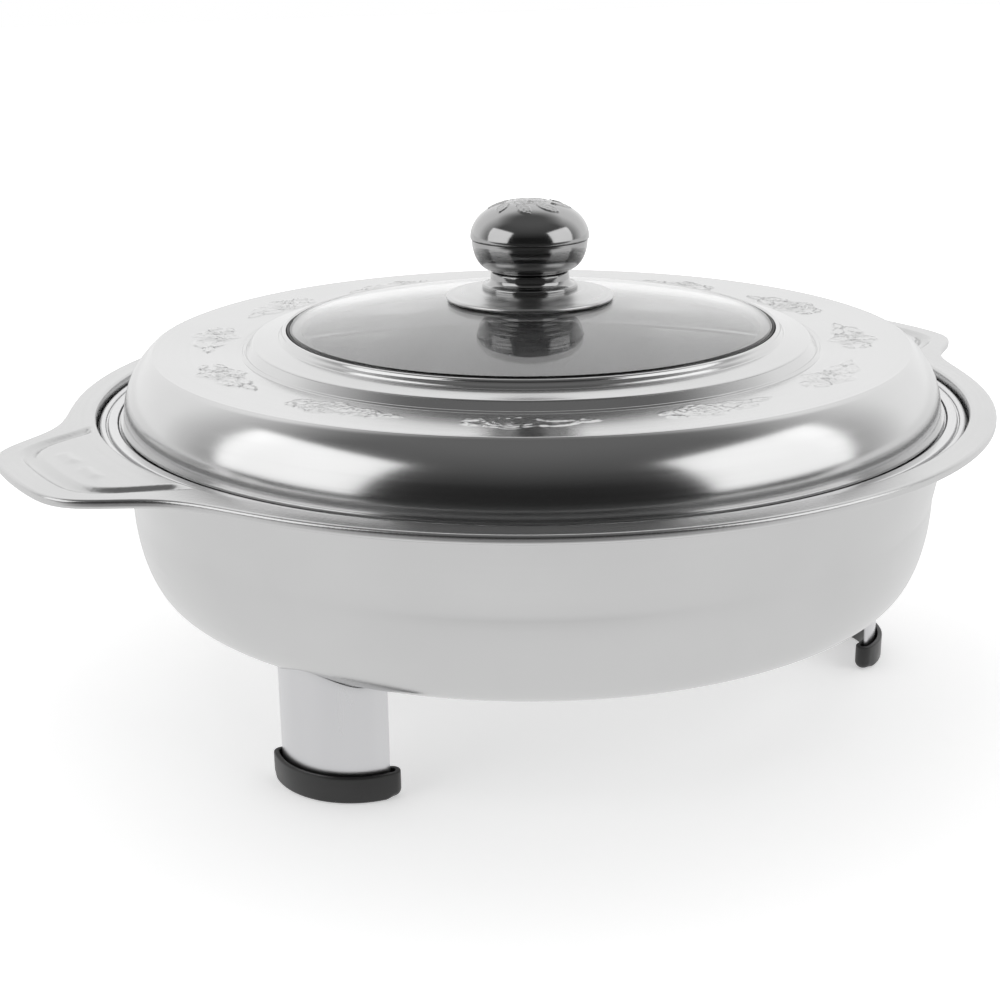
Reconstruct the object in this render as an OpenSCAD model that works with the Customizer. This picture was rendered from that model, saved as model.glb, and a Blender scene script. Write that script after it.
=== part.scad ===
// Round buffet soup warmer: a water pan with two ears on three booted legs,
// a lift-out food pan, and a lift-off lid with a domed glass window and a ball knob.
// +Z is up, the origin is on the middle axis at the floor, the ears point along X.

/* [Water pan] */
// Outside diameter of the rim flange
pan_d = 335; // [310:1:360]
// Width of the rim flange, from its edge to the recess for the food pan
flange_w = 9.1; // [7:0.1:12]
// Length over both ears
ear_span = 392; // [370:1:420]
// Half angle of an ear at half its reach, in degrees
ear_half = 13; // [10:0.5:16]
// Depth of the pressed groove in each ear
groove_depth = 1.4; // [0.8:0.1:2]
// Depth of the recess that the food pan's rim lies in
recess_depth = 5.5; // [4:0.1:8]
// Diameter of the bowl under the rim
bowl_d = 306; // [290:1:312]
// Depth of the bowl below the rim line
bowl_depth = 62.5; // [50:0.5:90]
// Thickness of the pan sheet
pan_sheet = 0.7; // [0.5:0.1:1]

/* [Food pan] */
// Inside depth of the food pan
food_depth = 46.5; // [35:0.5:52]
// Outside diameter of its rolled rim bead
food_bead_d = 315; // [308:0.5:316]
// Thickness of the food pan sheet
food_sheet = 0.6; // [0.5:0.1:0.8]

/* [Lid] */
// Outside diameter of the lid's hem
lid_d = 300; // [296:0.5:301]
// Height of the outer shoulder above the rim line
lid_h = 21.4; // [16:0.1:26]
// Diameter of the glass window
glass_d = 176.6; // [160:0.1:180]
// Rise of the glass dome
glass_rise = 9.3; // [6:0.1:12]
// Thickness of the glass
glass_t = 4; // [3:0.1:5]
// Thickness of the lid sheet
lid_sheet = 0.6; // [0.5:0.1:0.8]
// Number of pressed roses round the lid
rose_count = 12; // [6:1:12]
// Radius of the circle that the roses stand on
rose_circle = 118; // [116:0.5:120]

/* [Knob] */
// Diameter of the ball
knob_d = 43.5; // [36:0.5:50]
// Height of the ball from its bottom groove to its top
knob_h = 25.3; // [20:0.1:32]
// Diameter of the saucer washer under the knob
saucer_d = 61.4; // [50:0.2:70]
// Thickness of the knob's pressed shells
knob_sheet = 0.8; // [0.6:0.1:1]

/* [Legs] */
// Height of the pan's underside above the floor
leg_h = 40; // [32:1:60]
// Radius of the circle that the legs' arc centres lie on
leg_circle = 110.5; // [105:0.1:111]
// Shift of that circle from the middle axis along X, as welded
leg_shift_x = -5.1; // [-6:0.1:6]
// Shift of that circle along Y, as welded
leg_shift_y = -1.5; // [-6:0.1:6]
// Radius of a leg's arc in plan, at the middle of the sheet
leg_arc_r = 25.2; // [22:0.1:26]
// Half angle of a leg's arc, in degrees
leg_half = 51; // [45:1:60]
// Turn of the set of legs from the square position to the ears, in degrees
leg_turn = -4; // [-15:1:15]
// Turn of each leg about its own arc centre, in degrees
leg_twist = 9; // [-20:1:20]
// Thickness of the leg sheet
leg_sheet = 0.8; // [0.6:0.1:1.2]
// Inner radius of the welded tab at the top of a leg
leg_tab_r = 13; // [8:0.5:20]
// Width of a rubber boot across its channel
boot_w = 6; // [5:0.1:7]
// Height of a rubber boot
boot_h = 9; // [7:0.5:12]
// Thickness of rubber under a leg
boot_floor = 2.5; // [2:0.1:3]
// Width of the channel in a boot
boot_slot = 2.6; // [1.6:0.1:3]

/* [Hidden] */
$fn = 120;
rim_z = leg_h + bowl_depth;
flange_r = pan_d / 2;
flange_top = 1.5;
lip_drop = 3;
lip_w = 1.4;
recess_r = flange_r - flange_w;
ledge_z = flange_top - recess_depth;
bowl_r = bowl_d / 2;
bowl_taper = 0.17;
corner_h = 33;
corner_w = 12;
floor_z = -bowl_depth;

ear_reach = ear_span / 2 - flange_r;
ear_power = 6;
groove_base = 150;
groove_reach = ear_span / 2 - groove_base - 11;
groove_half = ear_half - 0.6;
groove_w = 4.6;
groove_half_w = 1.1;
rib_r = 174.5;
rib_w = 3;

bead_r = 1.3;
bead_at = food_bead_d / 2 - bead_r;
seat_z = -2.2;
rise_z = -1.2;
seat_r = 150.9;
food_r = 146;
food_taper = 0.12;
food_corner = 12;
food_floor = seat_z - food_depth;

hem_r = 0.8;
lid_r = lid_d / 2;
shoulder_r = lid_r - 1.2;
shoulder_arc = 28;
crease_r = shoulder_r - 10.8;
band_z = lid_h - 1.5;
step_in = 104.8;
terrace_out = 101.1;
terrace_in = 92.6;
ring_r = 90.2;
ring_z = 27.7;
glass_r = glass_d / 2;
glass_edge = ring_z + 0.2;
apex_z = glass_edge + glass_rise;
dome_r = (glass_r * glass_r + glass_rise * glass_rise) / (2 * glass_rise);
well_r = glass_r + 1;
shelf_z = glass_edge - glass_t - 1.9;
shelf_r = glass_r - 5.8;
rose_turn = 22.9;

screw_r = 2.5;
screw_hole = 3.3;
saucer_z = apex_z + 2.8;
neck_h = 6.2;
neck_top_r = 14.4;
neck_foot_r = 17.5;
ball_z = saucer_z + neck_h + 0.3;
seam_z = ball_z + 0.46 * knob_h;
ball_foot_r = 14.3;

// --- outlines and profiles -------------------------------------------------

function unit(v) = v / norm(v);
function back(p) = [for (i = [len(p) - 1 : -1 : 0]) p[i]];
// Each point of a path moved by t along the path's own normal, never past the axis
function shifted(p, t) = [for (i = [0 : len(p) - 1])
    let (a = unit(p[min(i + 1, len(p) - 1)] - p[max(i - 1, 0)]), q = p[i] - t * [a[1], -a[0]])
    [max(0, q[0]), q[1]]];
// Quarter ellipse from its side to its foot
function corner(r, z, w, h, n) = [for (i = [0 : n])
    [r - w + w * cos(90 * i / n), z - h * sin(90 * i / n)]];
// Arc about a centre, from angle a to angle b
function arc(c, r, a, b, n) = [for (i = [0 : n])
    let (t = a + (b - a) * i / n) c + r * [cos(t), sin(t)]];
// A bump of two ears round the axis: full reach on X, half of it at the half angle
function ear(a, reach, half) = reach / (1 + pow(abs(sin(a)) * 180 / PI / half, ear_power));
function loop(base, reach, half) = [for (a = [0 : 1.5 : 358.5])
    (base + ear(a, reach, half)) * [cos(a), sin(a)]];

module sheet(p, t) { polygon(concat(p, back(shifted(p, t)))); }
module ring(r_in, r_out, z, h) {
    translate([0, 0, z]) difference() {
        cylinder(r = r_out, h = h);
        translate([0, 0, -1]) cylinder(r = r_in, h = h + 2);
    }
}

// --- water pan -------------------------------------------------------------

bowl_in = concat(
    [[bowl_r - 0.7, ledge_z], [bowl_r - 1.4, ledge_z - 0.4], [bowl_r - 1.7, ledge_z - 1.4]],
    corner(bowl_r - 0.7 - bowl_taper * (bowl_depth - corner_h), corner_h - bowl_depth,
           corner_w, corner_h - pan_sheet, 9),
    [[0, floor_z + pan_sheet]]);
recess_in = concat(
    [[recess_r + 2, flange_top]],
    arc([recess_r + 1, flange_top - 1], 1, 90, 180, 3),
    arc([recess_r - 1, ledge_z + 1], 1, 0, -90, 3));

module loop_band(base, reach, half, w, half_w, z, h) {
    translate([0, 0, z]) linear_extrude(h) difference() {
        polygon(loop(base, reach + w / 2, half + half_w));
        polygon(loop(base, reach - w / 2, half - half_w));
    }
}
module ear_only(r) {
    difference() {
        children();
        translate([0, 0, -50]) cylinder(r = r, h = 400);
    }
}
// Groove with a wall all round it, pressed down into each ear
module ear_groove(grow, z, h) {
    ear_only(recess_r + 3 - grow)
        loop_band(groove_base, groove_reach, groove_half, groove_w + 2 * grow,
                  groove_half_w + grow / 5, z, h);
}
module ear_rib(side, turn, grow, z, h) {
    rotate([0, 0, side + turn]) translate([rib_r, 0, z])
        translate([-rib_w / 2 - grow, -5.5 - grow, 0]) cube([rib_w + 2 * grow, 11 + 2 * grow, h]);
}
module ear_ribs(grow, z, h) {
    for (side = [0, 180], turn = [-3.2, 3.2]) ear_rib(side, turn, grow, z, h);
}

module water_pan() {
    color("lightgray") translate([0, 0, rim_z]) {
        difference() {
            union() {
                translate([0, 0, flange_top - pan_sheet]) linear_extrude(pan_sheet)
                    polygon(loop(flange_r, ear_reach, ear_half));
                ear_groove(pan_sheet, flange_top - groove_depth - pan_sheet,
                           groove_depth + pan_sheet);
            }
            translate([0, 0, -50]) cylinder(r = recess_r + 0.5, h = 100);
            ear_groove(0, flange_top - groove_depth, groove_depth + 1);
        }
        translate([0, 0, flange_top - lip_drop]) linear_extrude(lip_drop) difference() {
            polygon(loop(flange_r, ear_reach, ear_half));
            polygon(loop(flange_r - lip_w, ear_reach, ear_half - 0.3));
        }
        difference() {
            ear_ribs(0, flange_top - 0.2, 0.9);
            ear_ribs(-0.6, flange_top - 0.4, 0.8);
        }
        rotate_extrude() sheet(concat(recess_in, bowl_in), pan_sheet);
    }
}

// --- food pan --------------------------------------------------------------

food_in = concat(
    [[bead_at - 0.6, -2.2], [bead_at - 1.7, -2.3], [bead_at - 2.2, rise_z]],
    [[seat_r + 0.4, rise_z], [seat_r, rise_z - 0.3], [seat_r - 0.2, seat_z]],
    arc([food_r + 1, seat_z - 1], 1, 90, 180, 3),
    corner(food_r - food_taper * (food_depth - food_corner), food_floor + food_corner,
           food_corner, food_corner, 7),
    [[0, food_floor]]);

module food_pan() {
    color("silver") translate([0, 0, rim_z]) rotate_extrude() union() {
        sheet(food_in, food_sheet);
        translate([bead_at, ledge_z + bead_r + 0.3]) circle(bead_r);
    }
}

// --- lid -------------------------------------------------------------------

lid_top = concat(
    [[shoulder_r, -0.9]],
    arc([shoulder_r - shoulder_arc, lid_h - shoulder_arc * sin(crease_turn())], shoulder_arc,
        0, crease_turn(), 12),
    [[step_in + 0.8, band_z + 0.1], [step_in, band_z + 0.3]],
    [[terrace_out + 0.3, terrace_h() - 0.3], [terrace_out - 0.4, terrace_h()]],
    [[terrace_in + 0.4, terrace_h() + 1], [terrace_in, terrace_h() + 1.3]],
    arc([ring_r, ring_z - 0.9], 0.9, 20, 160, 5),
    [[well_r, shelf_z + 0.6], [well_r - 0.5, shelf_z], [shelf_r, shelf_z]]);
function terrace_h() = ring_z - 4.1;
// Angle of the shoulder's arc at the crease
function crease_turn() = acos((crease_r - shoulder_r + shoulder_arc) / shoulder_arc);

module leaf(u, v, turn) {
    translate([v, u, -0.3]) rotate([0, 0, 90 - turn]) linear_extrude(0.6)
        polygon([[-6, 0], [-3, 1.9], [0, 2.5], [3, 1.9], [6, 0], [3, -1.9], [0, -2.5], [-3, -1.9]]);
}
// Rose of three low steps with leaves beside it, which stands on the sloping band
module rose() {
    slope = atan((lid_h - band_z - 0.1) / (crease_r - step_in - 0.8));
    z = lid_h - (crease_r - rose_circle) * tan(slope);
    translate([rose_circle, 0, z]) rotate([0, -slope, 0]) {
        for (step = [[8.4, 0.55], [5.6, 0.8], [2.6, 1.05]])
            translate([0, 0, -0.3]) cylinder(r = step[0], h = step[1], $fn = 24);
        leaf(16, -3.6, 10);
        leaf(16.5, 3.8, -12);
    }
}
module lid_shell() {
    color("gainsboro") translate([0, 0, rim_z]) {
        rotate([0, 0, rose_turn - 15]) rotate_extrude() union() {
            sheet(lid_top, lid_sheet);
            translate([lid_r - hem_r, -1]) circle(hem_r);
        }
        for (i = [0 : rose_count - 1]) rotate([0, 0, rose_turn + 360 * i / rose_count]) rose();
    }
}
// Height of the dome's top face at a radius
function dome_at(r) = apex_z - dome_r + sqrt(dome_r * dome_r - r * r);
module lid_glass() {
    n = 14;
    top = [for (i = [0 : n]) let (r = screw_hole + (glass_r - screw_hole) * i / n) [r, dome_at(r)]];
    color("lightblue", 0.4) translate([0, 0, rim_z]) rotate_extrude()
        polygon(concat(top, back([for (p = top) p - [0, glass_t]])));
}
module glass_gasket() {
    foot = dome_at(glass_r) - glass_t;
    color("dimgray") translate([0, 0, rim_z]) rotate_extrude() union() {
        translate([glass_r + 0.05, shelf_z + 0.8])
            square([well_r - glass_r - 0.2, glass_edge - shelf_z - 1.25]);
        translate([shelf_r + 0.8, shelf_z + 0.1])
            square([well_r - 0.7 - shelf_r - 0.8, foot - shelf_z - 0.15]);
    }
}

// --- knob ------------------------------------------------------------------

cap_out = concat(
    [[knob_d / 2 - 0.8, seam_z], [knob_d / 2 - 0.3, seam_z + 0.3]],
    [for (i = [0 : 9]) let (t = 6 + 84 * i / 9)
        [knob_d / 2 * pow(cos(t), 0.8), seam_z + 0.3 + (ball_z + knob_h - seam_z - 0.3) * sin(t)]]);
cup_out = concat(
    [[screw_hole, ball_z], [ball_foot_r - 0.6, ball_z], [ball_foot_r, ball_z + 0.5]],
    [for (i = [1 : 7]) let (t = 90 * i / 7)
        [ball_foot_r + (knob_d / 2 - 1.2 - ball_foot_r) * sin(t),
         ball_z + 0.5 + (seam_z - ball_z - 0.6) * (1 - cos(t))]]);

module knob_cap() {
    color("silver") translate([0, 0, rim_z]) rotate_extrude() sheet(cap_out, knob_sheet);
}
module knob_cup() {
    color("silver") translate([0, 0, rim_z]) rotate_extrude() sheet(cup_out, knob_sheet);
}
module knob_core() {
    z = ball_z + knob_sheet + 0.1;
    color("dimgray") translate([0, 0, rim_z + z]) difference() {
        union() {
            cylinder(r = ball_foot_r - 2, h = 2);
            cylinder(r = 8, h = knob_h - 5);
        }
        translate([0, 0, -1]) cylinder(r = screw_r + 0.05, h = 16);
    }
}
neck_out = [[screw_hole, saucer_z + neck_h], [neck_top_r - 0.5, saucer_z + neck_h],
    [neck_top_r, saucer_z + neck_h - 0.5], [neck_top_r + 0.3, saucer_z + 4.2],
    [neck_top_r + 1.2, saucer_z + 2.6], [neck_foot_r - 0.5, saucer_z + 1.5],
    [neck_foot_r, saucer_z + 0.8], [neck_foot_r, saucer_z + 0.05]];
module knob_neck() {
    color("silver") translate([0, 0, rim_z]) rotate_extrude() sheet(neck_out, -1);
}
saucer_out = concat(
    [[screw_hole, saucer_z], [neck_foot_r + 0.5, saucer_z], [neck_foot_r + 4, saucer_z - 0.5],
     [neck_foot_r + 8, saucer_z - 1.3]],
    arc([saucer_d / 2 - 0.9, saucer_z - 2.9], 0.9, 75, -110, 8),
    [[neck_foot_r + 8, saucer_z - 2.2], [neck_foot_r + 2, saucer_z - 0.8], [screw_hole, saucer_z - 0.8]]);
module knob_saucer() {
    color("silver") translate([0, 0, rim_z]) rotate_extrude() polygon(saucer_out);
}
module upper_seal() {
    color("dimgray") ring(screw_hole, 12, rim_z + apex_z + 0.05, saucer_z - apex_z - 0.95);
}
module lower_seal() {
    color("dimgray") ring(screw_hole, 9, rim_z + apex_z - glass_t - 1.7, 1.5);
}
module screw_washer() {
    color("lightgray") ring(screw_r + 0.2, 8, rim_z + apex_z - glass_t - 2.7, 0.95);
}
module knob_screw() {
    head_h = 2.8;
    z = rim_z + apex_z - glass_t - 2.75;
    color("lightgray") difference() {
        union() {
            translate([0, 0, z - head_h]) cylinder(r = 4.6, h = head_h);
            translate([0, 0, z]) cylinder(r = screw_r, h = 26);
        }
        for (a = [0, 90]) rotate([0, 0, a])
            translate([-2.6, -0.5, z - head_h - 1]) cube([5.2, 1, 2.4]);
    }
}

// --- legs ------------------------------------------------------------------

module at_leg(a) {
    translate([leg_shift_x, leg_shift_y, 0]) rotate([0, 0, a + leg_turn])
        translate([leg_circle, 0, 0]) rotate([0, 0, leg_twist]) children();
}
// Curved sheet with its top edge bent inwards into a tab, which is welded under the pan
module leg(a) {
    color("lightgray") at_leg(a) rotate([0, 0, -leg_half]) translate([0, 0, boot_floor])
        rotate_extrude(angle = 2 * leg_half) polygon([
            [leg_arc_r - leg_sheet / 2, 0], [leg_arc_r + leg_sheet / 2, 0],
            [leg_arc_r + leg_sheet / 2, leg_h - boot_floor],
            [leg_tab_r, leg_h - boot_floor], [leg_tab_r, leg_h - boot_floor - leg_sheet],
            [leg_arc_r - leg_sheet / 2, leg_h - boot_floor - leg_sheet]]);
}
module boot_shape(w, z, h, half) {
    translate([0, 0, z]) {
        rotate([0, 0, -half]) rotate_extrude(angle = 2 * half)
            translate([leg_arc_r - w / 2, 0]) square([w, h]);
        for (s = [-half, half]) rotate([0, 0, s]) translate([leg_arc_r, 0, 0])
            cylinder(r = w / 2, h = h);
    }
}
module boot(a) {
    color("black") at_leg(a) difference() {
        boot_shape(boot_w, 0, boot_h, leg_half + 1);
        boot_shape(boot_slot, boot_floor, boot_h, leg_half + 1);
    }
}
module front_left_leg() { leg(210); }
module front_right_leg() { leg(330); }
module rear_leg() { leg(90); }
module front_left_boot() { boot(210); }
module front_right_boot() { boot(330); }
module rear_boot() { boot(90); }

water_pan();
food_pan();
lid_shell();
lid_glass();
glass_gasket();
knob_cap();
knob_cup();
knob_core();
knob_neck();
knob_saucer();
upper_seal();
lower_seal();
screw_washer();
knob_screw();
front_left_leg();
front_right_leg();
rear_leg();
front_left_boot();
front_right_boot();
rear_boot();
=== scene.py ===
"""Looks of a round buffet soup warmer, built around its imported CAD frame.

The middle axis is Z, the ears point along X and the floor is z = 0. Profiles are written
in millimetres as (radius, height above the rim line) and placed in metres by the frame.
"""

import bmesh
import bpy
import numpy as np
from mathutils import Matrix, Vector


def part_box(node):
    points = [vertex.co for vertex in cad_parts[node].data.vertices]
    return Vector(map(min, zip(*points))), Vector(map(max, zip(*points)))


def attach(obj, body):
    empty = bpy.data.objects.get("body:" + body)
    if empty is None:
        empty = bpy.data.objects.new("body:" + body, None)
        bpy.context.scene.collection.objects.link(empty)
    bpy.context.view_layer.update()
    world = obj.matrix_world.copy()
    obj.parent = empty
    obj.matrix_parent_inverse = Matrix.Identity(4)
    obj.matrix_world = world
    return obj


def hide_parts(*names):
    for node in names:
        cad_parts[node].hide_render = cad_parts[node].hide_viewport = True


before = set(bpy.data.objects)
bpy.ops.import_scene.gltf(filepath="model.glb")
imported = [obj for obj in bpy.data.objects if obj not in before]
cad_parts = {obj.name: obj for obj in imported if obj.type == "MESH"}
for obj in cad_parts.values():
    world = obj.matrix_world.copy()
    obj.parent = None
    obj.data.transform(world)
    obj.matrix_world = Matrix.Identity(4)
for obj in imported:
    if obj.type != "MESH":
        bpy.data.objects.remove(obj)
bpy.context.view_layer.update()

MM = 0.001

# ---------------------------------------------------------------- sizes from the frame


def extent(node):
    """Half widths in X and Y, lowest and highest Z of a CAD node, in millimetres."""
    low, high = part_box(node)
    return high.x / MM, high.y / MM, low.z / MM, high.z / MM


EAR_TIP, FLANGE_R, PAN_BOTTOM, PAN_TOP = extent("water_pan")
FLANGE_TOP = 1.5
RIM = PAN_TOP - FLANGE_TOP  # height of the rim line above the floor
PAN_FLOOR = PAN_BOTTOM - RIM
PAN_SHEET = 0.7
LIP_DROP = 3.0
RECESS_R = FLANGE_R - 9.1
LEDGE = FLANGE_TOP - 5.5
BOWL_R = FLANGE_R - 14.5
EAR_REACH = EAR_TIP - FLANGE_R
EAR_HALF = 13.0  # degrees from the ear's middle to half its reach
WALL_SLOPE = 0.17  # the bowl's wall leans out by this share of its height
FOOT_W, FOOT_H = 12.0, 33.0  # half axes of the rounding at the foot of the wall
WALL_Z = PAN_FLOOR + FOOT_H
WALL_R = BOWL_R + WALL_SLOPE * WALL_Z

FOOD_R, _, FOOD_LOW, _ = extent("food_pan")
FOOD_SHEET = 0.6
FOOD_FLOOR = FOOD_LOW - RIM + FOOD_SHEET

LID_R, _, _, _ = extent("lid_shell")
LID_SHEET = 0.6
LID_H = 21.4
RING_Z = extent("lid_shell")[3] - RIM

GLASS_R, _, GLASS_LOW, GLASS_HIGH = extent("lid_glass")
GLASS_T = 4.0
APEX = GLASS_HIGH - RIM
GLASS_EDGE = GLASS_LOW - RIM + GLASS_T
DOME_R = (GLASS_R**2 + (APEX - GLASS_EDGE) ** 2) / (2 * (APEX - GLASS_EDGE))

SAUCER_R, _, _, SAUCER_TOP = extent("knob_saucer")
SAUCER_Z = SAUCER_TOP - RIM
NECK_R, _, _, NECK_TOP = extent("knob_neck")
NECK_Z = NECK_TOP - RIM
BALL_R, _, CAP_LOW, CAP_TOP = extent("knob_cap")
SEAM_Z = CAP_LOW - RIM
BALL_TOP = CAP_TOP - RIM
BALL_Z = extent("knob_cup")[2] - RIM

LEG_ARC_R = 25.2
LEG_HALF = 51.0
BOOT_HALF = LEG_HALF + 1
LEG_SHEET = 0.8
BOOT_W = 6.0
BOOT_H = extent("rear_boot")[3]
BOOT_FLOOR = extent("rear_leg")[2]
BOOT_SLOT = 2.6

LEG_TURN = -4.0
LEG_TWIST = 9.0
LEGS = {"front_left": 210 + LEG_TURN, "front_right": 330 + LEG_TURN, "rear": 90 + LEG_TURN}
LEG_CIRCLE = 110.5
LEG_SHIFT = (-5.1, -1.5)  # the legs' circle sits a little off the middle, as welded

# ---------------------------------------------------------------- profiles


def line(a, b, n=1):
    """n + 1 points evenly spaced on the straight from a to b."""
    return np.linspace(a, b, n + 1)


def arc(centre, radius, start, end, n):
    """n + 1 points on a circle or, with a pair of radii, an ellipse, from angle start to end."""
    t = np.radians(np.linspace(start, end, n + 1))
    return np.array(centre) + np.stack([np.cos(t), np.sin(t)], 1) * np.array(radius)


def path(*parts):
    """The parts joined end to end, with points that lie on the one before left out."""
    p = np.vstack([np.atleast_2d(np.array(part, float)) for part in parts])
    keep = np.r_[True, np.hypot(*np.diff(p, axis=0).T) > 1e-4]
    return p[keep]


def offset(p, t):
    """Each point moved by t to the left of the path, along the path's own normal."""
    d = np.gradient(p, axis=0)
    d /= np.maximum(np.hypot(*d.T)[:, None], 1e-9)
    q = p + t * np.stack([-d[:, 1], d[:, 0]], 1)
    q[:, 0] = np.maximum(q[:, 0], 0)
    return q


def smooth(low, high, x):
    """0 below low, 1 above high, and the cubic 3t^2 - 2t^3 between them."""
    t = np.clip((x - low) / (high - low), 0, 1)
    return t * t * (3 - 2 * t)


def bell(x, width):
    """A bump of height 1: exp(-(x / width)^2)."""
    return np.exp(-((x / width) ** 2))


# ---------------------------------------------------------------- meshes


def ring_of(p, turns, shape=None):
    """Grid of the profile p carried round Z: point (r, z) at angle a is (r cos a, r sin a, z).

    shape(r, z, a) may give back other arrays of r, z and a.
    """
    a = np.linspace(0, 2 * np.pi, turns, endpoint=False)
    r, z, a = np.broadcast_arrays(p[:, :1], p[:, 1:], a[None, :])
    if shape:
        r, z, a = shape(r, z, a)
    return np.stack([r * np.cos(a), r * np.sin(a), z], -1)


def skin(name, bands, material, loop=False, merge=False):
    """Closed mesh of grids laid end to end, each grid (rows, points round, 3) in millimetres.

    Rows go round and close on themselves. Neighbouring grids may differ in points round by a
    whole factor, and many-sided faces join them. The ends close on a point, or on each other
    where loop is true.
    """
    verts = np.vstack([b.reshape(-1, 3) for b in bands])
    first = np.cumsum([0] + [b.shape[0] * b.shape[1] for b in bands])
    faces = []

    def join(low, high):
        m, k = min(len(low), len(high)), max(len(low), len(high)) // min(len(low), len(high))
        few, many = (low, high) if len(low) <= len(high) else (high, low)
        span = np.stack([np.roll(many, -s)[::k] for s in range(k + 1)], 1)
        edge = np.stack([few[:m], np.roll(few, -1)], 1)
        poly = np.hstack([edge, span[:, ::-1]]) if few is low else np.hstack([span, edge[:, ::-1]])
        faces.extend(poly.tolist())

    grids = [s + np.arange(b[..., 0].size).reshape(b.shape[:2]) for s, b in zip(first, bands)]
    for g in grids:
        nxt = np.roll(g, -1, axis=1)
        quads = np.stack([g[:-1], nxt[:-1], nxt[1:], g[1:]], -1).reshape(-1, 4)
        faces.extend(quads.tolist())
    for low, high in zip(grids[:-1], grids[1:]):
        join(low[-1], high[0])
    if loop:
        join(grids[-1][-1], grids[0][0])
    elif not merge:
        for row, flip in ((grids[0][0], True), (grids[-1][-1], False)):
            tip = len(verts)
            verts = np.vstack([verts, verts[row].mean(0)])
            fan = np.stack([row, np.roll(row, -1), np.full(len(row), tip)], 1)
            faces.extend((fan[:, ::-1] if flip else fan).tolist())
    verts = verts * MM + [0, 0, RIM * MM]
    mesh = bpy.data.meshes.new(name)
    mesh.from_pydata(verts.tolist(), [], faces)
    bm = bmesh.new()
    bm.from_mesh(mesh)
    if merge:
        bmesh.ops.remove_doubles(bm, verts=bm.verts, dist=1e-6)
    if bm.calc_volume(signed=True) < 0:
        bmesh.ops.reverse_faces(bm, faces=bm.faces)
    bm.to_mesh(mesh)
    bm.free()
    mesh.shade_smooth()
    mesh.set_sharp_from_angle(angle=np.radians(50))
    mesh.materials.append(material)
    piece = bpy.data.objects.new(name, mesh)
    bpy.context.scene.collection.objects.link(piece)
    return piece


def stands_for(piece, body, slot, *nodes):
    """The piece moves with a body and is shown in place of nodes; slot is not used."""
    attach(piece, body)
    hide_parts(*nodes)


# ---------------------------------------------------------------- materials


def linear(code):
    """Linear RGBA of an sRGB hex colour."""
    s = np.array([int(code[i : i + 2], 16) for i in (1, 3, 5)]) / 255
    return (*np.where(s <= 0.04045, s / 12.92, ((s + 0.055) / 1.055) ** 2.4), 1.0)


def add(tree, kind, links=None, **settings):
    """A node of that kind. settings go to its attributes; links fills its inputs, each with a
    value or with an output socket of another node."""
    n = tree.nodes.new(kind)
    for key, value in settings.items():
        setattr(n, key, value)
    for key, value in (links or {}).items():
        if isinstance(value, bpy.types.NodeSocket):
            tree.links.new(value, n.inputs[key])
        else:
            n.inputs[key].default_value = value
    return n


def material(name, **sockets):
    """A new material with a Principled shader whose sockets are set; returns it, its tree, the shader."""
    m = bpy.data.materials.new(name)
    m.use_nodes = True
    shader = m.node_tree.nodes["Principled BSDF"]
    for key, value in sockets.items():
        shader.inputs[key.replace("_", " ")].default_value = value
    return m, m.node_tree, shader


def turned(tree, around, along):
    """Coordinates of turned or drawn metal: the angle round Z as (cos, sin) * around, and the
    distance from Z plus the height times along, so that noise on them makes rings or rays."""
    xyz = add(tree, "ShaderNodeSeparateXYZ", {0: add(tree, "ShaderNodeTexCoord").outputs["Object"]})
    x, y, z = xyz.outputs
    flat = add(tree, "ShaderNodeCombineXYZ", {0: x, 1: y})
    r = add(tree, "ShaderNodeVectorMath", {0: flat.outputs[0]}, operation="LENGTH").outputs["Value"]
    unit = add(tree, "ShaderNodeVectorMath", {0: flat.outputs[0]}, operation="NORMALIZE")
    scaled = add(
        tree, "ShaderNodeVectorMath", {0: unit.outputs[0], "Scale": around}, operation="SCALE"
    )
    run = add(tree, "ShaderNodeMath", {0: r, 1: z}, operation="ADD").outputs[0]
    run = add(tree, "ShaderNodeMath", {0: run, 1: along}, operation="MULTIPLY").outputs[0]
    up = add(tree, "ShaderNodeCombineXYZ", {2: run})
    both = add(tree, "ShaderNodeVectorMath", {0: scaled.outputs[0], 1: up.outputs[0]}, operation="ADD")
    return both.outputs[0], r, z


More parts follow.
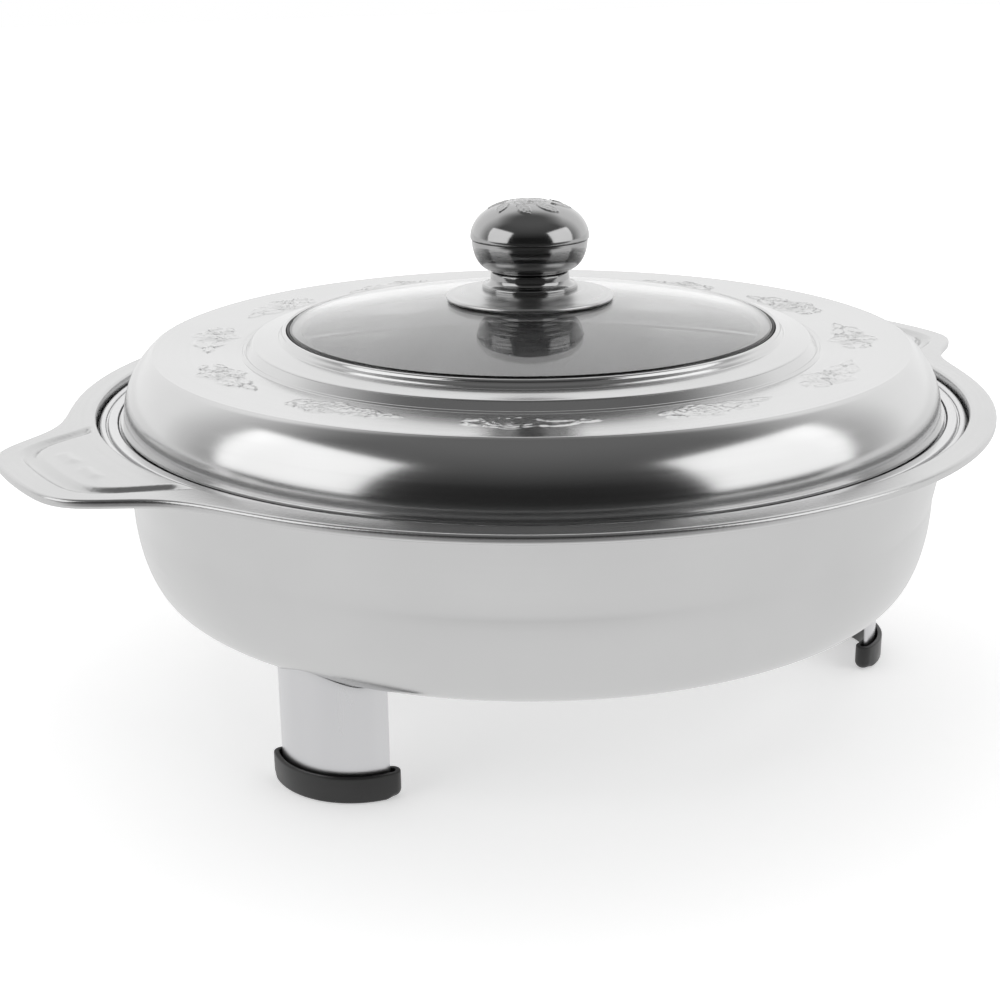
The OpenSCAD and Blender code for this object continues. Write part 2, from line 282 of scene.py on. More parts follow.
def steel(name, colour, shade, roughness, lines, line_mm, rays=0.0, wave=0.0, change=0.1, upright=False):
    """Stainless sheet. colour and shade are the two ends of its faint cloudiness, lines the depth
    in mm of its turned lines, spaced line_mm apart, rays that of drawing marks that run outwards
    on the rim flange, wave that of slow unevenness of the sheet, and change the share by which
    the roughness varies along the lines. Upright marks replace the turned ones where asked."""
    m, tree, shader = material(name, Metallic=1.0, Roughness=roughness)
    rings, r, z = turned(tree, 0.6, 1 / (line_mm * 2 * MM))
    objects = add(tree, "ShaderNodeTexCoord").outputs["Object"]
    at, size = objects, 1 / (45 * MM)
    if upright:
        stretch = (1 / (9 * MM), 1 / (9 * MM), 1 / (150 * MM))
        at = rings = add(tree, "ShaderNodeMapping", {0: objects, 3: stretch}).outputs[0]
        size = 0.6
    cloud = add(tree, "ShaderNodeTexNoise", {"Vector": at, "Scale": size, "Detail": 2.0 if upright else 4.0})
    cloud = cloud.outputs["Fac"]
    ends = {"Factor": cloud, 6: linear(colour), 7: linear(shade)}
    ramp = add(tree, "ShaderNodeMix", ends, data_type="RGBA")
    tree.links.new(ramp.outputs[2], shader.inputs["Base Color"])
    ring_noise = add(
        tree, "ShaderNodeTexNoise", {"Vector": rings, "Scale": 1.0, "Detail": 1.0 if upright else 2.0}
    ).outputs["Fac"]
    rough = add(
        tree,
        "ShaderNodeMapRange",
        {0: ring_noise, 1: 0.3, 2: 0.7, 3: roughness * (1 - change), 4: roughness * (1 + change)},
    )
    tree.links.new(rough.outputs[0], shader.inputs["Roughness"])
    bump = add(
        tree, "ShaderNodeBump", {"Strength": 1.0, "Distance": lines * MM, "Height": ring_noise}
    ).outputs[0]
    if wave:
        slow = add(
            tree, "ShaderNodeTexNoise", {"Vector": objects, "Scale": 1 / (30 * MM), "Detail": 1.0}
        ).outputs["Fac"]
        bump = add(
            tree, "ShaderNodeBump", {"Strength": 1.0, "Distance": wave * MM, "Height": slow, "Normal": bump}
        ).outputs[0]
    if rays:
        ray_vector, _, _ = turned(tree, 150.0, 1 / (18 * MM))
        ray = add(
            tree, "ShaderNodeTexNoise", {"Vector": ray_vector, "Scale": 1.0, "Detail": 3.0}
        ).outputs["Fac"]
        on_rim = add(
            tree, "ShaderNodeMapRange", {0: r, 1: (RECESS_R - 2) * MM, 2: (RECESS_R + 1) * MM}
        ).outputs[0]
        ray = add(tree, "ShaderNodeMath", {0: ray, 1: on_rim}, operation="MULTIPLY").outputs[0]
        bump = add(
            tree, "ShaderNodeBump", {"Strength": 1.0, "Distance": rays * MM, "Height": ray, "Normal": bump}
        ).outputs[0]
    tree.links.new(bump, shader.inputs["Normal"])
    return m


def rubber(name, colour, roughness, grain_mm):
    """Moulded rubber: dark, with a fine even grain."""
    m, tree, shader = material(name, Base_Color=linear(colour), Roughness=roughness)
    objects = add(tree, "ShaderNodeTexCoord").outputs["Object"]
    patch_mm = 14
    grain, patch = [
        add(
            tree, "ShaderNodeTexNoise", {"Vector": objects, "Scale": 1 / (size * MM), "Detail": 3.0}
        ).outputs["Fac"]
        for size in (grain_mm, patch_mm)
    ]
    rough = add(
        tree,
        "ShaderNodeMapRange",
        {0: patch, 1: 0.3, 2: 0.7, 3: roughness - 0.08, 4: roughness + 0.1},
    )
    tree.links.new(rough.outputs[0], shader.inputs["Roughness"])
    bump = add(tree, "ShaderNodeBump", {"Strength": 0.5, "Distance": 0.05 * MM, "Height": grain})
    tree.links.new(bump.outputs[0], shader.inputs["Normal"])
    return m


# Deep-drawn stainless, satin outside: an even light grey with faint rings and rim drawing marks
PAN_STEEL = steel(
    "drawn_satin_stainless", "#CFCFCF", "#C5C5C5", 0.25, 0.0012, 0.5, rays=0.04, wave=0.02, change=0.05
)
# Food pan sheet, a little brighter
FOOD_STEEL = steel("satin_stainless_insert", "#DADADA", "#CFCFD0", 0.22, 0.002, 0.4)
# Polished pressed lid: soft-edged highlights on its shoulder, hardly any lines
LID_STEEL = steel("soft_polished_stainless", "#D2D2D2", "#C9C9C9", 0.18, 0.001, 0.4, wave=0.01)
# Spun knob shells: polished, with turned rings that show
KNOB_STEEL = steel("spun_polished_stainless", "#B4B4B4", "#9E9E9E", 0.13, 0.02, 0.5)
# Bent leg strip: satin, with soft upright bands left by bending
LEG_STEEL = steel("satin_stainless_strip", "#D4D4D5", "#C8C8CA", 0.28, 0.004, 0.6, change=0.04, upright=True)
# Stamped saucer washer: satin, so it hardly mirrors the neck
SAUCER_STEEL = steel("satin_stainless_washer", "#D2D2D2", "#C6C6C6", 0.30, 0.004, 0.5)
# Zinc-plated screw and washer
SCREW_STEEL = steel("zinc_plated_steel", "#B4B5B8", "#9FA0A4", 0.35, 0.01, 0.3)
# Black moulded rubber of the boots
BOOT_RUBBER = rubber("black_moulded_rubber", "#262626", 0.42, 0.35)
# Black silicone of the seals
SILICONE = rubber("black_silicone", "#303030", 0.5, 0.5)
# Dark nylon of the threaded knob core
NYLON = rubber("dark_nylon", "#2A2A2C", 0.55, 0.4)


def window_glass():
    """Tempered soda-lime glass, clear with a faint grey cast and the odd wiping smear."""
    m, tree, shader = material(
        "tempered_glass", Base_Color=linear("#F4F4F4"), Transmission_Weight=1.0, IOR=1.5
    )
    objects = add(tree, "ShaderNodeTexCoord").outputs["Object"]
    smear = add(tree, "ShaderNodeTexNoise", {"Vector": objects, "Scale": 1 / (35 * MM), "Detail": 3.0})
    rough = add(tree, "ShaderNodeMapRange", {0: smear.outputs["Fac"], 1: 0.4, 2: 0.75, 3: 0.0, 4: 0.05})
    tree.links.new(rough.outputs[0], shader.inputs["Roughness"])
    return m


GLASS = window_glass()

# ---------------------------------------------------------------- water pan


def ear_curve(a, reach, half):
    """Reach of the ears at angle a: reach / (1 + (angle from X / half)^6)."""
    return reach / (1 + (np.abs(np.degrees(np.sin(a))) / half) ** 6)


GROOVE_BASE = 150.0
GROOVE_REACH = EAR_TIP - GROOVE_BASE - 11
GROOVE_HALF = EAR_HALF - 0.6
GROOVE_DEPTH = 1.4
RIB_X = 174.0  # from the middle axis to the ribs
RIB_Y = 9.8  # from the ear's centre line to each rib's middle
RIB_STRAIGHT = 4.2  # half length of a rib's straight part
RIB_HEIGHT = 0.7
FLANGE_SAG = 0.075  # slow unevenness of the flange, as pressed


def ear_relief(r, a):
    """Height in mm pressed into the flange at radius r and angle a: a groove along a smaller
    ear curve, and two short raised ribs inside it on each ear."""
    g = GROOVE_BASE + ear_curve(a, GROOVE_REACH, GROOVE_HALF)
    step = 1e-3
    ahead, behind = [ear_curve(a + s, GROOVE_REACH, GROOVE_HALF) for s in (step, -step)]
    slope = (ahead - behind) / (2 * step)
    away = np.abs(r - g) / np.sqrt(1 + (slope / r) ** 2)
    groove = (1 - smooth(1.3, 3.0, away)) * smooth(RECESS_R + 1.0, RECESS_R + 4.5, r)
    x, y = r * np.abs(np.cos(a)), r * np.sin(a)
    rib = 0
    for middle in (-RIB_Y, RIB_Y):
        off = np.hypot(np.maximum(np.abs(y - middle) - RIB_STRAIGHT, 0), x - RIB_X)
        rib = rib + bell(off, 1.7)
    return -GROOVE_DEPTH * groove + RIB_HEIGHT * rib


def make_water_pan():
    """One pressed sheet, as a closed profile from the middle of its underside, up outside the
    bowl, round the lip, across the flange, down the recess and over the bowl's inside. On the
    flange, rows go in even shares from the recess to the outline, which carries the ears."""
    t = PAN_SHEET
    outer = path(
        line((20, PAN_FLOOR), (WALL_R - FOOT_W - 2, PAN_FLOOR), 8),
        arc((WALL_R - FOOT_W, WALL_Z), (FOOT_W, FOOT_H), -90, 0, 26),
        line((WALL_R, WALL_Z), (BOWL_R - 1, LEDGE - t - 2), 5),
        arc((BOWL_R + 1, LEDGE - t - 2), 2, 180, 90, 5),
        line((BOWL_R + 1, LEDGE - t), (RECESS_R - 1.2, LEDGE - t), 2),
        arc((RECESS_R - 1.2, LEDGE - t + 1.9), 1.9, -90, 0, 5),
        line((RECESS_R + t, LEDGE + 1.4), (RECESS_R + t, FLANGE_TOP - t - 0.5), 2),
    )
    inner = path(
        arc((RECESS_R + 1, FLANGE_TOP - 1), 1, 90, 180, 4),
        line((RECESS_R, FLANGE_TOP - 1), (RECESS_R, LEDGE + 1.2), 2),
        arc((RECESS_R - 1.2, LEDGE + 1.2), 1.2, 0, -90, 5),
        line((RECESS_R - 1.2, LEDGE), (BOWL_R + 0.6, LEDGE), 2),
        arc((BOWL_R + 0.6, LEDGE - 2.2), 2.2, 90, 170, 5),
        line((BOWL_R - 2.0, LEDGE - 4), (WALL_R - t, WALL_Z), 5),
        arc((WALL_R - FOOT_W, WALL_Z), (FOOT_W - t, FOOT_H - t), 0, -90, 26),
        line((WALL_R - FOOT_W - 2, PAN_FLOOR + t), (20, PAN_FLOOR + t), 8),
    )

    turns, fine = 280, 3
    a = np.linspace(0, 2 * np.pi, turns * fine, endpoint=False)[None, :]

    def outline(a, inset):
        """Outline of the flange with ears, moved inwards by inset along its own normal."""
        step = 1e-4
        r0 = FLANGE_R + ear_curve(a, EAR_REACH, EAR_HALF)
        ahead, behind = [ear_curve(a + s, EAR_REACH, EAR_HALF) for s in (step, -step)]
        dr = (ahead - behind) / (2 * step)
        x, y = r0 * np.cos(a), r0 * np.sin(a)
        tx, ty = dr * np.cos(a) - y, dr * np.sin(a) + x
        n = np.hypot(tx, ty)
        return x - inset * ty / n, y + inset * tx / n

    def flange_rows(root_r, z, inset, shares):
        """Rows from the recess circle to the inset outline, at the given shares of the way."""
        ox, oy = outline(a, inset)
        ix, iy = root_r * np.cos(a), root_r * np.sin(a)
        s = shares[:, None]
        x, y = ix + (ox - ix) * s, iy + (oy - iy) * s
        r, ang = np.hypot(x, y), np.arctan2(y, x)
        relief = ear_relief(r, ang) * smooth(0, 0.1, s) * (1 - smooth(0.93, 1, s))
        sag = FLANGE_SAG * np.sin(7 * ang + 1.0) * bell(s - 0.6, 0.5)
        return np.stack([x, y, z + relief + sag], -1)

    def lip_rows(p):
        """Rows of the lip, each a point (inset, height) carried along the outline."""
        ox, oy = outline(a, p[:, :1])
        return np.stack([ox, oy, np.broadcast_to(p[:, 1:], ox.shape)], -1)

    lip_low = FLANGE_TOP - LIP_DROP
    under = flange_rows(RECESS_R + t, FLANGE_TOP - t, 1.6, np.linspace(0.08, 1, 16))
    lip = lip_rows(
        path(
            line((1.5, FLANGE_TOP - t - 0.3), (1.4, lip_low + 0.6), 3),
            arc((0.7, lip_low + 0.7), 0.7, 0, -180, 8),
            line((0.0, lip_low + 0.7), (0.0, FLANGE_TOP - 1.0), 3),
            arc((1.0, FLANGE_TOP - 1.0), 1.0, 180, 90, 6),
        )
    )
    top = flange_rows(RECESS_R + 1, FLANGE_TOP, 1.4, np.linspace(1, 0.03, 33))
    bands = [ring_of(outer, turns), under, lip, top, ring_of(inner, turns)]
    piece = skin("water_pan_pressed", bands, PAN_STEEL)
    stands_for(piece, "pan", "pan_steel", "water_pan")


# ---------------------------------------------------------------- food pan


def make_food_pan():
    """Pressed sheet with a rolled bead: the profile runs from the middle of the underside up
    outside, round the bead, over the rim rings and down inside to the middle."""
    t = FOOD_SHEET
    bead_r = 1.3
    bead = (FOOD_R - bead_r, LEDGE + 1.6)
    seat_z, rise_z, seat_r, wall_top = -2.2, -1.2, 150.9, 146.0
    foot = 12.0
    foot_r = wall_top + 0.12 * (FOOD_FLOOR + foot)
    inside = path(
        arc((seat_r + 1.9, rise_z - 0.5), 0.5, 80, 100, 1),
        arc((seat_r + 0.5, rise_z - 0.5), 0.5, 90, 180, 4),
        line((seat_r, rise_z - 0.5), (seat_r - 0.1, seat_z + 0.3), 1),
        arc((seat_r - 0.5, seat_z + 0.4), 0.4, 0, -90, 3),
        line((seat_r - 0.5, seat_z), (wall_top + 1.5, seat_z), 2),
        arc((wall_top + 1.5, seat_z - 1.5), 1.5, 90, 180, 5),
        line((wall_top, seat_z - 1.5), (foot_r, FOOD_FLOOR + foot), 6),
        arc((foot_r - foot, FOOD_FLOOR + foot), foot, 0, -90, 14),
        line((foot_r - foot, FOOD_FLOOR), (15, FOOD_FLOOR), 8),
    )
    outside = offset(inside, t)[::-1]
    over_bead = arc(bead, bead_r, -100, 165, 16)
    groove = path(
        arc((bead[0] - 2.1, seat_z + 0.35), 0.45, -30, -130, 4),
        arc((seat_r + 2.9, rise_z - 0.5), 0.5, 20, 90, 4),
    )
    p = path(outside, over_bead, groove, inside)
    piece = skin("food_pan_pressed", [ring_of(p, 360)], FOOD_STEEL)
    stands_for(piece, "food_pan", "food_pan_steel", "food_pan")


# ---------------------------------------------------------------- lid

ROSES = 12
ROSE_AT = np.radians(22.9)  # angle of the first rose
ROSE_R = 118.0  # radius of the circle the roses stand on
ROSE_SIZE = 8.6
KNOB_ROSE = 7.6
KNOB_LEAVES = 8
RELIEF = 0.4  # height of the pressed flowers
BAND_Z = LID_H - 1.5
BAND_IN, BAND_OUT = 106.6, 137.0


def rose(u, v, size):
    """Height 0 to 1 of a rose round (0, 0): a dome with wavy rings of petals, each ring at
    radius k (0.84 + 0.2 |cos|) with its own number of petals."""
    rho, phi = np.hypot(u, v) / size, np.arctan2(v, u)
    h = 0.45 * (1 - smooth(0.55, 1.05, rho))
    for k, (at, petals) in enumerate(((0.13, 3), (0.32, 4), (0.53, 5), (0.74, 5), (0.95, 6))):
        edge = at * (0.86 + 0.2 * np.abs(np.cos(petals * (phi - 0.9 * k) / 2)))
        h = h + 0.55 * bell(rho - edge, 0.06) - 0.25 * bell(rho - edge - 0.1, 0.05)
    return h * (1 - smooth(1.0, 1.12, rho))


def leaf(u, v, at, turn, length, width):
    """Height 0 to 1 of a pointed leaf: a raised rim and veins inside |y| < width (1 - x^2)."""
    c, s = np.cos(np.radians(turn)), np.sin(np.radians(turn))
    x = ((u - at[0]) * c + (v - at[1]) * s) / length
    y = (-(u - at[0]) * s + (v - at[1]) * c) / width
    half = np.maximum(1 - x * x, 0)
    inside = (1 - smooth(0.82, 1.05, np.abs(y) / np.maximum(half, 1e-3))) * (np.abs(x) < 1)
    rim = bell(np.abs(y) - half * 0.82, 0.16)
    vein = bell(y, 0.12) + 0.6 * (np.cos(14 * (x - 0.5 * np.abs(y))) > 0.55)
    return inside * (0.35 + 0.5 * rim + 0.3 * vein)


def lid_relief(r, a):
    """Height in mm of the pressed flowers at radius r and angle a: one rose with leaves in
    every twelfth of the lid."""
    twelfth = 2 * np.pi / ROSES
    turn = np.mod(a - ROSE_AT + 0.36 * twelfth, twelfth) - 0.36 * twelfth
    u, v = ROSE_R * turn, r - ROSE_R
    h = rose(u, v, ROSE_SIZE)
    for at, angle, length, width in (
        ((13.5, -3.0), 12, 6.0, 2.6),
        ((14.5, 3.2), -14, 6.5, 2.6),
        ((22.5, -0.5), 4, 5.0, 2.0),
        ((-11.8, -2.6), 150, 3.4, 1.7),
        ((-11.4, 3.6), -150, 3.4, 1.7),
    ):
        h = np.maximum(h, leaf(u, v, at, angle, length, width))
    return RELIEF * h * smooth(BAND_IN, BAND_IN + 1.5, r) * (1 - smooth(BAND_OUT - 2, BAND_OUT, r))


def make_lid():
    """Pressed sheet: hem, round shoulder, flat band with flowers, two steps, ring round the
    glass and the shelf under it, with the same path offset inwards as its underside."""
    t = LID_SHEET
    hem_r = 0.8
    side_r = LID_R - 1.2
    bend = 28.0
    crease = (side_r - 10.8, LID_H)
    bend_end = np.degrees(np.arccos((crease[0] - side_r + bend) / bend))
    bend_z = LID_H - bend * np.sin(np.radians(bend_end))
    hem = (LID_R - hem_r, -1.0)
    terrace = RING_Z - 3.9
    well_r = GLASS_R + 1
    shelf_z = GLASS_EDGE - GLASS_T - 1.9
    shelf_r = GLASS_R - 5.8
    side = path(
        arc((side_r - bend, bend_z), bend, 0, bend_end - 1.5, 26),
        arc((crease[0] - 0.75, LID_H - 1.0), 0.97, bend_end, 87, 5),
    )
    band = line((BAND_OUT, LID_H - 0.07), (BAND_IN, BAND_Z + 0.02), 46)
    steps = path(
        arc((106.0, BAND_Z + 0.35), 0.55, -60, -130, 3),
        arc((105.0, BAND_Z + 0.05), 0.45, 30, 150, 5),
        line((104.3, BAND_Z + 0.2), (101.9, terrace - 0.5), 3),
        arc((101.2, terrace - 1.0), 1.0, 40, 86, 4),
        line((100.9, terrace + 0.02), (93.4, terrace + 1.05), 3),
        arc((92.9, terrace + 1.7), 0.6, -90, -150, 3),
        line((92.2, terrace + 1.9), (91.2, RING_Z - 1.1), 2),
        arc((90.2, RING_Z - 0.9), 0.9, 10, 170, 10),
        line((well_r, RING_Z - 1.2), (well_r, shelf_z + 0.6), 3),
        arc((well_r - 0.6, shelf_z + 0.6), 0.6, 0, -90, 3),
        line((well_r - 0.6, shelf_z), (shelf_r, shelf_z), 3),
    )
    under = offset(path(side[:-3], (crease[0] - 2, LID_H - 0.1), (107, BAND_Z), steps), t)
    roll = arc(hem, hem_r, 200, 390, 12)
    turns, fine = 270, 4

    def pressed(r, z, a):
        return r, z + lid_relief(r, a), a

    bands = [
        ring_of(path(roll, side), turns),
        ring_of(band, turns * fine, pressed),
        ring_of(path(steps, under[::-1]), turns),
    ]
    piece = skin("lid_pressed", bands, LID_STEEL, loop=True)
    stands_for(piece, "lid", "lid_steel", "lid_shell")


def make_glass():
    """Dome: a cap of a sphere of radius DOME_R with a rounded ground edge and a screw hole."""
    hole = 3.3
    rise = np.linspace(hole, GLASS_R - 0.6, 30)
    dome = APEX - DOME_R + np.sqrt(DOME_R**2 - rise**2)
    top = np.stack([rise, dome], 1)[::-1]
    bottom = np.stack([rise, dome - GLASS_T], 1)
    edge = arc((GLASS_R - 0.8, GLASS_EDGE - 0.8), 0.8, 70, 0, 4)
    edge_low = arc((GLASS_R - 0.8, GLASS_EDGE - GLASS_T + 0.9), 0.8, 0, -80, 4)
    p = path(bottom, edge_low[::-1], edge[::-1], top)
    piece = skin("window_dome", [ring_of(p, 240)], GLASS, loop=True)
    stands_for(piece, "lid", "glass", "lid_glass")


# ---------------------------------------------------------------- knob


def make_knob():
    """Cap and cup of the ball, flared neck and saucer, each a pressed or spun shell."""
    t = 0.8
    hole = 3.3
    high = BALL_TOP - SEAM_Z - 0.5
    angle = np.radians(np.linspace(2, 90, 60))
    dome = np.stack([BALL_R * np.cos(angle) ** 0.8, SEAM_Z + 0.5 + high * np.sin(angle)], 1)
    dome[-1, 0] = 0
    lip = arc((BALL_R - 0.5, SEAM_Z + 0.5), 0.5, -90, 0, 4)
    out = path(lip, dome)
    inner = offset(out, t)

    def petals(r, z, a):
        """Rose on top of the cap with a ring of leaves round it."""
        u, v = r * np.cos(a), r * np.sin(a)
        h = rose(u, v, KNOB_ROSE)
        for turn in np.linspace(0, 2 * np.pi, KNOB_LEAVES, endpoint=False):
            c, s = np.cos(turn), np.sin(turn)
            h = np.maximum(h, leaf(u * c + v * s, v * c - u * s, (11.6, 0), 40, 4.4, 2.4))
        return r, z + RELIEF * h * (1 - smooth(15, 17, r)), a

    bands = [ring_of(inner[1:-1][::-1], 120), ring_of(out[:-1], 240, petals)]
    piece = skin("knob_cap_pressed", bands, KNOB_STEEL)
    stands_for(piece, "lid", "knob_steel", "knob_cap")

    foot_r = 14.3
    angle = np.radians(np.linspace(0, 90, 26))
    bowl = np.stack(
        [
            foot_r + (BALL_R - 0.5 - foot_r) * np.sin(angle),
            BALL_Z + 0.6 + (SEAM_Z - BALL_Z - 0.8) * (1 - np.cos(angle)),
        ],
        1,
    )
    out = path(
        line((hole, BALL_Z), (foot_r - 0.6, BALL_Z), 4),
        arc((foot_r - 0.6, BALL_Z + 0.6), 0.6, -90, 0, 4),
        bowl,
    )
    p = path(out, offset(out, t)[::-1])
    piece = skin("knob_cup_spun", [ring_of(p, 160)], KNOB_STEEL, loop=True)
    stands_for(piece, "lid", "knob_steel", "knob_cup")

    top_r = NECK_R - 3.1
    low = SAUCER_Z + 0.05
    out = path(
        line((hole, NECK_Z), (top_r - 0.6, NECK_Z), 4),
        arc((top_r - 0.6, NECK_Z - 0.6), 0.6, 90, 0, 4),
        arc((top_r + 3.1, NECK_Z - 2.2), (3.1, 2.6), 180, 245, 12),
        arc((NECK_R - 0.7, low + 1.0), 0.7, 70, 0, 4),
        line((NECK_R, low + 0.9), (NECK_R, low), 1),
    )
    p = path(out, offset(out, -1.0)[::-1])
    piece = skin("knob_neck_turned", [ring_of(p, 160)], KNOB_STEEL, loop=True)
    stands_for(piece, "lid", "knob_steel", "knob_neck")

    out = path(
        line((hole, SAUCER_Z), (NECK_R + 0.5, SAUCER_Z), 5),
        arc((NECK_R + 0.5, SAUCER_Z - 26), 26, 89, 66, 10)[:-1],
        arc((SAUCER_R - 0.9, SAUCER_Z - 2.9), 0.9, 110, -110, 12),
    )
    under = path(line((SAUCER_R - 2.2, SAUCER_Z - 2.9), (NECK_R + 2, SAUCER_Z - t), 6), (hole, SAUCER_Z - t))
    piece = skin("saucer_washer", [ring_of(path(out, under), 200)], SAUCER_STEEL, loop=True)
    stands_for(piece, "lid", "saucer_steel", "knob_saucer")


# ---------------------------------------------------------------- legs and boots


def at_leg(points, angle):
    """Points drawn round a leg's own arc centre, moved to the leg at that angle and to the floor."""
    a, b = np.radians([angle, angle + LEG_TWIST])
    x, y = points[..., 0], points[..., 1]
    x, y = x * np.cos(b) - y * np.sin(b), x * np.sin(b) + y * np.cos(b)
    x, y = x + LEG_CIRCLE * np.cos(a) + LEG_SHIFT[0], y + LEG_CIRCLE * np.sin(a) + LEG_SHIFT[1]
    return np.stack([x, y, points[..., 2] - RIM], -1)


def make_leg(name, angle):
    """Sheet bent over at the top: a closed section of wall and tab carried round the leg's arc,
    drawn in at both ends so that the cut edges are closed and eased. Beyond radius foot_r the
    underside of the bowl rises as h (1 - sqrt(1 - ((r - foot_r) / w)^2)), and the wall with it."""
    t = LEG_SHEET
    top = PAN_BOTTOM
    sunk = 0.6  # lets the wall's top edge close on the bowl
    columns = 49
    r = LEG_ARC_R + t / 2
    outer = path(
        line((r, BOOT_FLOOR), (r, top - 0.9), 14),
        arc((r - 0.9, top - 0.9), 0.9, 0, 90, 5),
        line((r - 0.9, top), (13, top), 4),
    )
    section = path(outer, offset(outer, t)[::-1])
    middle = np.vstack([offset(outer, t / 2), offset(outer, t / 2)[::-1]])[: len(section)]
    half = np.radians(LEG_HALF)
    a = np.linspace(-half, half, columns)
    ease = np.minimum(1, np.sqrt(np.clip((half - np.abs(a)) / np.radians(0.6), 0, 1)) + 0.02)
    p = middle[None] + (section - middle)[None] * ease[:, None, None]
    grid = np.stack([p[..., 0] * np.cos(a)[:, None], p[..., 0] * np.sin(a)[:, None], p[..., 1]], -1)
    grid = at_leg(grid, angle)
    foot_r = WALL_R - FOOT_W - sunk
    out = np.clip((np.hypot(grid[..., 0], grid[..., 1]) - foot_r) / FOOT_W, 0, 0.9)
    lift = FOOT_H * (1 - np.sqrt(1 - out**2))
    grid[..., 2] += lift * (p[..., 1] - BOOT_FLOOR) / (top - BOOT_FLOOR)
    piece = skin(name + "_leg_bent", [grid], LEG_STEEL)
    stands_for(piece, "pan", "leg_steel", name + "_leg")


def make_boot(name, angle):
    """Channel moulded round the leg's arc. Its plan is the arc swept by a width w: along the
    outside, round one end, back along the inside and round the other. Rows of (w, z) run from
    the middle of the underside, up the side, over the wall and down the slot."""
    half = np.radians(BOOT_HALF)
    n_side, n_end = 60, 14
    a = np.r_[
        np.linspace(-half, half, n_side),
        np.full(n_end, half),
        np.linspace(half, -half, n_side),
        np.full(n_end, -half),
    ]
    turn = np.r_[
        np.zeros(n_side),
        np.linspace(0, np.pi, n_end + 2)[1:-1],
        np.full(n_side, np.pi),
        np.linspace(np.pi, 2 * np.pi, n_end + 2)[1:-1],
    ]
    at_end = smooth(half * 0.86, half, np.abs(a))
    w0, slot = BOOT_W / 2, BOOT_SLOT / 2
    edge = 0.9 + 1.7 * at_end[None, :]

    def rows(w, z):
        m = LEG_ARC_R * np.stack([np.cos(a), np.sin(a)], 1)
        d = np.stack([np.cos(a + turn), np.sin(a + turn)], 1)
        xy = m[None] + w[..., None] * d[None]
        return np.concatenate([xy, z[..., None]], -1)

    q = np.radians(np.linspace(0, 90, 8))[:, None]
    share = np.linspace(0, 1, 5)[:, None]
    low = rows((w0 - edge) * share, 0 * edge * share)
    round_low = rows(w0 - edge * (1 - np.sin(q)), edge * (1 - np.cos(q)))
    ones = np.ones_like(edge)
    q = np.radians(np.linspace(0, 90, 5))[:, None]
    round_top = rows(w0 - 0.5 * (1 - np.cos(q)) * ones, BOOT_H - 0.5 * (1 - np.sin(q)) * ones)
    round_in = rows(slot + 0.35 * (1 - np.sin(q)) * ones, BOOT_H - 0.35 * (1 - np.cos(q)) * ones)
    down = rows(slot * ones * np.ones((3, 1)), (BOOT_H - 1 + (BOOT_FLOOR - BOOT_H + 1.1) * share[::2]) * ones)
    floor = rows(slot * (1 - share[1:]) * ones, BOOT_FLOOR * ones * np.ones((4, 1)))
    grid = np.concatenate([low, round_low, round_top, round_in, down, floor])
    piece = skin(name + "_boot_moulded", [at_leg(grid, angle)], BOOT_RUBBER, merge=True)
    stands_for(piece, "pan", "boot_rubber", name + "_boot")


make_water_pan()
make_food_pan()
make_lid()
make_glass()
make_knob()
for leg_name, leg_angle in LEGS.items():
    make_leg(leg_name, leg_angle)
    make_boot(leg_name, leg_angle)

for node_name, finish in {
    "glass_gasket": SILICONE,
    "upper_seal": SILICONE,
    "lower_seal": SILICONE,
    "knob_core": NYLON,
    "screw_washer": SCREW_STEEL,
    "knob_screw": SCREW_STEEL,
}.items():
    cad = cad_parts[node_name]
    cad.data.materials.clear()
    cad.data.materials.append(finish)

# ---------------------------------------------------------------- studio


def stage_plane(name, size, z, finish):
    """A square floor of that size in metres."""
    h = size / 2
    mesh = bpy.data.meshes.new(name)
    mesh.from_pydata([(-h, -h, z), (h, -h, z), (h, h, z), (-h, h, z)], [], [(0, 1, 2, 3)])
    mesh.materials.append(finish)
    floor = bpy.data.objects.new(name, mesh)
    bpy.context.scene.collection.objects.link(floor)


AZIMUTH, ELEVATION, ROLL = -33.0, 18.07, -0.64  # degrees
DISTANCE = 0.6303  # metres from the point looked at
LENS = 59.4  # mm on a 36 mm sensor


def towards(azimuth, elevation):
    """Unit vector from the object to a camera or lamp at that azimuth and elevation, in degrees."""
    a, e = np.radians([azimuth, elevation])
    return Vector((np.sin(a) * np.cos(e), -np.cos(a) * np.cos(e), np.sin(e)))


# White floor. In polished metal it shows as a lit table with the dark of the room before it
floor_paint, floor_tree, floor_shader = material(
    "white_studio_floor",
    Roughness=0.9,
    Base_Color=linear("#F4F4F4"),
    Emission_Color=linear("#FFFFFF"),
)
floor_at = add(floor_tree, "ShaderNodeTexCoord").outputs["Object"]
floor_r = add(floor_tree, "ShaderNodeVectorMath", {0: floor_at}, operation="LENGTH").outputs["Value"]
floor_glow = add(floor_tree, "ShaderNodeMapRange", {0: floor_r, 1: 0.12, 2: 0.42, 3: 0.4, 4: 1.0})
floor_tree.links.new(floor_glow.outputs[0], floor_shader.inputs["Emission Strength"])
to_front = add(
    floor_tree, "ShaderNodeVectorMath", {0: floor_at, 1: towards(AZIMUTH, 0)}, operation="DOT_PRODUCT"
).outputs["Value"]
floor_level = add(floor_tree, "ShaderNodeMapRange", {0: to_front, 1: 0.30, 2: 0.50, 3: 0.95, 4: 0.05})
floor_mirrored = add(floor_tree, "ShaderNodeEmission", {"Strength": floor_level.outputs[0]})
floor_ray = add(floor_tree, "ShaderNodeLightPath")
floor_both = add(
    floor_tree,
    "ShaderNodeMixShader",
    {
        0: floor_ray.outputs["Is Glossy Ray"],
        1: floor_shader.outputs[0],
        2: floor_mirrored.outputs[0],
    },
)
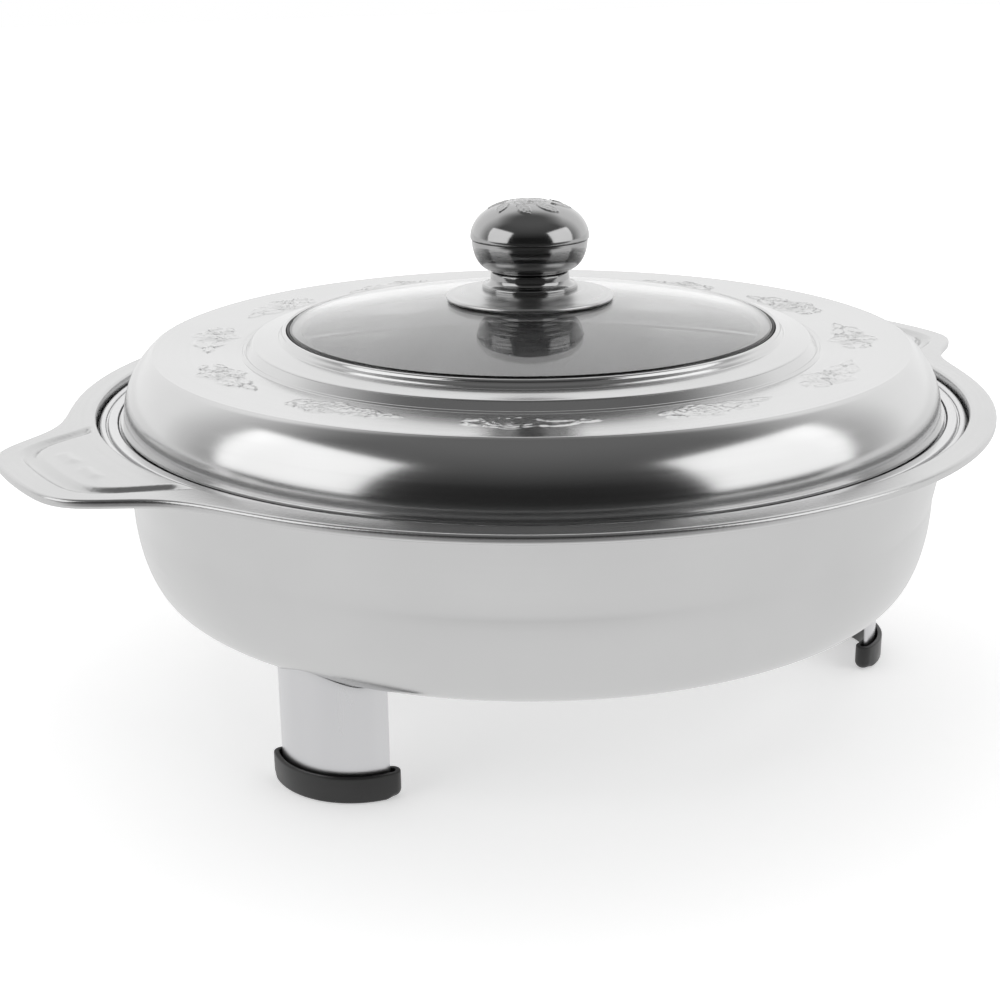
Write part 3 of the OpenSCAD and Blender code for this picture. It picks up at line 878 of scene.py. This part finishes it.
floor_tree.links.new(floor_both.outputs[0], floor_tree.nodes["Material Output"].inputs["Surface"])
stage_plane("studio_floor", 14.0, -0.0002, floor_paint)


def softbox(name, azimuth, elevation, distance, size, power):
    """Rectangular lamp that faces the middle of the warmer."""
    lamp = bpy.data.lights.new(name, "AREA")
    lamp.shape, lamp.size, lamp.size_y, lamp.energy = "RECTANGLE", size[0], size[1], power
    o = bpy.data.objects.new(name, lamp)
    d = towards(azimuth, elevation)
    aim = Vector((0, 0, RIM * MM))
    o.matrix_world = Matrix.Translation(aim + d * distance) @ d.to_track_quat("Z", "Y").to_matrix().to_4x4()
    bpy.context.scene.collection.objects.link(o)


for softbox_name, aside in (("left_softbox", -66), ("right_softbox", 66)):
    softbox(softbox_name, AZIMUTH + aside, 22, 1.3, (1.1, 1.0), 4.8)

world = bpy.data.worlds.new("studio_surround")
bpy.context.scene.world = world
world.use_nodes = True
wt = world.node_tree
back_light = wt.nodes["Background"]
direction = add(wt, "ShaderNodeTexCoord").outputs["Generated"]
front = towards(AZIMUTH, 0)
facing = add(wt, "ShaderNodeVectorMath", {0: direction, 1: front}, operation="DOT_PRODUCT").outputs["Value"]
height = add(wt, "ShaderNodeSeparateXYZ", {0: direction}).outputs[2]
# The surround is bright behind the warmer and dim before it, so that its front mirrors a dark room
behind = add(wt, "ShaderNodeMapRange", {0: height, 1: 0.75, 2: 0.95, 3: 1.1, 4: 0.16}).outputs[0]
before = add(wt, "ShaderNodeMapRange", {0: height, 1: 0.35, 2: 0.95, 3: 0.02, 4: 0.18}).outputs[0]
turn = add(wt, "ShaderNodeMapRange", {0: facing, 1: -0.5, 2: 0.1}).outputs[0]
shade = add(wt, "ShaderNodeMix", {"Factor": turn, 2: behind, 3: before}, data_type="FLOAT").outputs[0]
# What shows of the surround itself is plain white
camera_ray = add(wt, "ShaderNodeLightPath").outputs["Is Camera Ray"]
level = add(wt, "ShaderNodeMix", {"Factor": camera_ray, 2: shade, 3: 1.0}, data_type="FLOAT").outputs[0]
wt.links.new(level, back_light.inputs["Strength"])
back_light.inputs["Color"].default_value = (1, 1, 1, 1)

side = Vector((np.cos(np.radians(AZIMUTH)), np.sin(np.radians(AZIMUTH)), 0))
look_at = side * -0.01185 + Vector((0, 0, RIM * MM - 0.0426))
back = towards(AZIMUTH, ELEVATION)
up = back.cross(side)
roll = np.radians(ROLL)
cam_x = side * np.cos(roll) + up * np.sin(roll)
cam_y = up * np.cos(roll) - side * np.sin(roll)
camera = bpy.data.objects.new("camera", bpy.data.cameras.new("camera"))
camera.data.lens = LENS
camera.data.sensor_width = 36
camera.matrix_world = Matrix.Translation(look_at + back * DISTANCE) @ Matrix(
    (cam_x, cam_y, back)
).transposed().to_4x4()
bpy.context.scene.collection.objects.link(camera)
bpy.context.scene.camera = camera
bpy.context.scene.view_settings.view_transform = "Standard"
